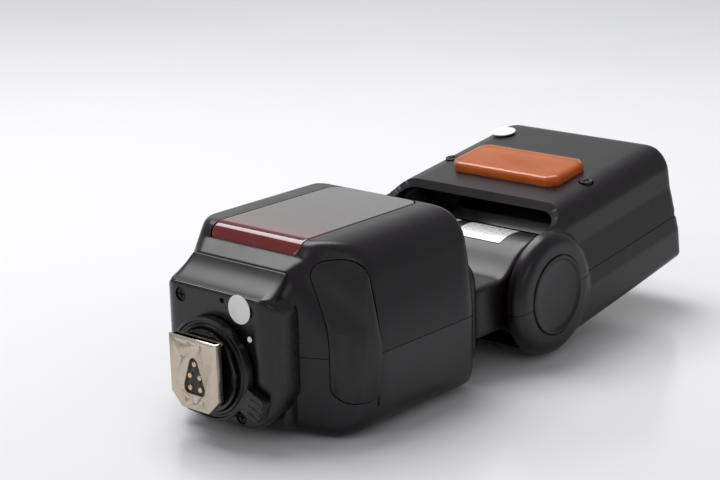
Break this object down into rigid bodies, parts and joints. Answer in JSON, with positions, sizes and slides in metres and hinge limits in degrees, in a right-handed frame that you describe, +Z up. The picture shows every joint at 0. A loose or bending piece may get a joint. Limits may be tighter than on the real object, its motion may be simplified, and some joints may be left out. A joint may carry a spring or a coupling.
{
  "type": "speedlight flash",
  "caption": "Speedlight flash for a camera hot shoe, with a tilting and swivelling zoom head, lying on its back.",
  "frame": {"origin": "centre of the footprint on the surface it lies on, with the flash lying on its back", "axes": "+X from the shoe foot to the lens end of the head, +Z up, out of the front panel, +Y to the battery door"},
  "size_m": [0.1943, 0.0784, 0.0566],
  "materials": {
    "black_abs": "fine moulded texture",
    "gloss_red": "polished, smoked red",
    "lamp_red": "clear moulded",
    "dark_plastic": "smooth moulded",
    "nickel": "satin nickel plate",
    "gold": "gold plate",
    "black_steel": "black oxide",
    "steel": "turned",
    "board_green": "solder mask",
    "capacitor_sleeve": "shrink sleeve",
    "winding": "varnished tape",
    "lcd_clear": "hard-coated acrylic",
    "lcd_glass": "polished",
    "cell": "wrapped",
    "spring_bronze": "nickel flashed",
    "cover_rubber": "soft matt",
    "key_rubber": "silky silicone",
    "pilot_tint": "translucent",
    "label": "silver foil",
    "lens_clear": "moulded Fresnel",
    "panel_clear": "ribbed acrylic",
    "card_white": "matt white",
    "amber": "translucent amber",
    "mirror_metal": "bright rolled",
    "tube_glass": "polished"
  },
  "bodies": {
    "body": {"body_front_shell": "black_abs", "body_rear_shell": "black_abs", "front_panel": "gloss_red", "af_lamp": "lamp_red", "foot_block": "dark_plastic", "shoe_block": "dark_plastic", "shoe_plate": "nickel", "foot_screws": "black_steel", "shell_screws": "black_steel", "swivel_bearing": "steel", "main_board": "board_green", "key_board": "board_green", "main_capacitor": "capacitor_sleeve", "transformer": "winding", "lcd_window": "lcd_clear", "lcd_module": "lcd_glass", "battery_tray": "dark_plastic", "battery_cells": "cell", "battery_contacts": "spring_bronze", "hinge_pins": "steel", "socket_panel": "dark_plastic", "sync_socket": "nickel", "power_socket": "dark_plastic"},
    "contacts": {"contact_pins": "gold"},
    "lock_ring": {"lock_ring": "dark_plastic"},
    "lock_pin": {"lock_pin": "steel"},
    "battery_door": {"battery_door": "black_abs", "door_contact": "spring_bronze"},
    "door_latch": {"door_latch": "dark_plastic"},
    "socket_cover": {"socket_cover": "cover_rubber"},
    "key_mode": {"key_mode": "key_rubber"},
    "key_light": {"key_light": "key_rubber"},
    "key_zoom": {"key_zoom": "key_rubber"},
    "key_up": {"key_up": "key_rubber"},
    "key_down": {"key_down": "key_rubber"},
    "key_left": {"key_left": "key_rubber"},
    "key_right": {"key_right": "key_rubber"},
    "key_ok": {"key_ok": "key_rubber"},
    "key_power": {"key_power": "key_rubber"},
    "key_pilot": {"key_pilot": "pilot_tint"},
    "neck": {"neck_frame": "black_abs", "swivel_clip": "steel", "neck_label": "label"},
    "head": {"head_top_shell": "black_abs", "head_bottom_shell": "black_abs", "tilt_shaft": "steel", "hinge_caps": "black_abs", "head_screws": "black_steel", "lens_bezel": "dark_plastic", "fresnel_lens": "lens_clear", "panel_tray": "dark_plastic", "guide_rods": "steel", "zoom_motor": "steel", "amber_window": "amber"},
    "wide_panel": {"wide_panel": "panel_clear"},
    "bounce_card": {"bounce_card": "card_white"},
    "lead_screw": {"lead_screw": "steel"},
    "zoom_optics": {"zoom_carriage": "dark_plastic", "reflector": "mirror_metal", "xenon_tube": "tube_glass"}
  },
  "joints": [
    {"name": "head_swivel", "type": "hinge", "parent": "body", "child": "neck", "pos_m": [-0.01442, 0, 0.0204], "axis": [1, 0, 0], "range_deg": [-90, 180]},
    {"name": "head_tilt", "type": "hinge", "parent": "neck", "child": "head", "pos_m": [0.02278, 0, 0.0204], "axis": [0, -1, 0], "range_deg": [-7.8, 82.2]},
    {"name": "lock_lever", "type": "hinge", "parent": "body", "child": "lock_ring", "pos_m": [-0.09222, 0, 0.0205], "axis": [1, 0, 0], "range_deg": [-35, 0]},
    {"name": "lock_pin_slide", "type": "slide", "parent": "body", "child": "lock_pin", "axis": [-1, 0, 0], "range_m": [0, 0.0014]},
    {"name": "contact_press", "type": "slide", "parent": "body", "child": "contacts", "axis": [1, 0, 0], "range_m": [0, 0.0007], "stiffness_N_per_m": 300},
    {"name": "door_swing", "type": "hinge", "parent": "body", "child": "battery_door", "pos_m": [-0.03992, 0.03207, 0.0445], "axis": [1, 0, 0], "range_deg": [0, 90]},
    {"name": "latch_slide", "type": "slide", "parent": "battery_door", "child": "door_latch", "axis": [1, 0, 0], "range_m": [0, 0.0025], "stiffness_N_per_m": 120},
    {"name": "cover_swing", "type": "hinge", "parent": "body", "child": "socket_cover", "pos_m": [-0.06107, -0.03695, 0.018], "axis": [0, 0, 1], "range_deg": [0, 95]},
    {"name": "press_mode", "type": "slide", "parent": "body", "child": "key_mode", "axis": [0, 0, 1], "range_m": [0, 0.0006], "stiffness_N_per_m": 300},
    {"name": "press_light", "type": "slide", "parent": "body", "child": "key_light", "axis": [0, 0, 1], "range_m": [0, 0.0006], "stiffness_N_per_m": 300},
    {"name": "press_zoom", "type": "slide", "parent": "body", "child": "key_zoom", "axis": [0, 0, 1], "range_m": [0, 0.0006], "stiffness_N_per_m": 300},
    {"name": "press_up", "type": "slide", "parent": "body", "child": "key_up", "axis": [0, 0, 1], "range_m": [0, 0.0006], "stiffness_N_per_m": 300},
    {"name": "press_down", "type": "slide", "parent": "body", "child": "key_down", "axis": [0, 0, 1], "range_m": [0, 0.0006], "stiffness_N_per_m": 300},
    {"name": "press_left", "type": "slide", "parent": "body", "child": "key_left", "axis": [0, 0, 1], "range_m": [0, 0.0006], "stiffness_N_per_m": 300},
    {"name": "press_right", "type": "slide", "parent": "body", "child": "key_right", "axis": [0, 0, 1], "range_m": [0, 0.0006], "stiffness_N_per_m": 300},
    {"name": "press_ok", "type": "slide", "parent": "body", "child": "key_ok", "axis": [0, 0, 1], "range_m": [0, 0.0006], "stiffness_N_per_m": 300},
    {"name": "press_power", "type": "slide", "parent": "body", "child": "key_power", "axis": [0, 0, 1], "range_m": [0, 0.0006], "stiffness_N_per_m": 300},
    {"name": "press_pilot", "type": "slide", "parent": "body", "child": "key_pilot", "axis": [0, 0, 1], "range_m": [0, 0.0006], "stiffness_N_per_m": 300},
    {"name": "wide_panel_slide", "type": "slide", "parent": "head", "child": "wide_panel", "axis": [0.9907, 0, 0.1357], "range_m": [0, 0.038]},
    {"name": "bounce_card_slide", "type": "slide", "parent": "head", "child": "bounce_card", "axis": [0.9907, 0, 0.1357], "range_m": [0, 0.038]},
    {"name": "zoom_slide", "type": "slide", "parent": "head", "child": "zoom_optics", "axis": [0.9907, 0, 0.1357], "range_m": [0, 0.016]},
    {"name": "lead_screw_turn", "type": "hinge", "parent": "head", "child": "lead_screw", "pos_m": [0.04498, 0.0326, 0.02041], "axis": [0.9907, 0, 0.1357], "range_deg": [0, 1921]}
  ],
  "couplings": [
    {"joint": "lead_screw_turn", "follows": "zoom_slide", "rad_per_m": 2094.4},
    {"joint": "lock_pin_slide", "follows": "lock_lever", "m_per_rad": -0.0022918}
  ]
}
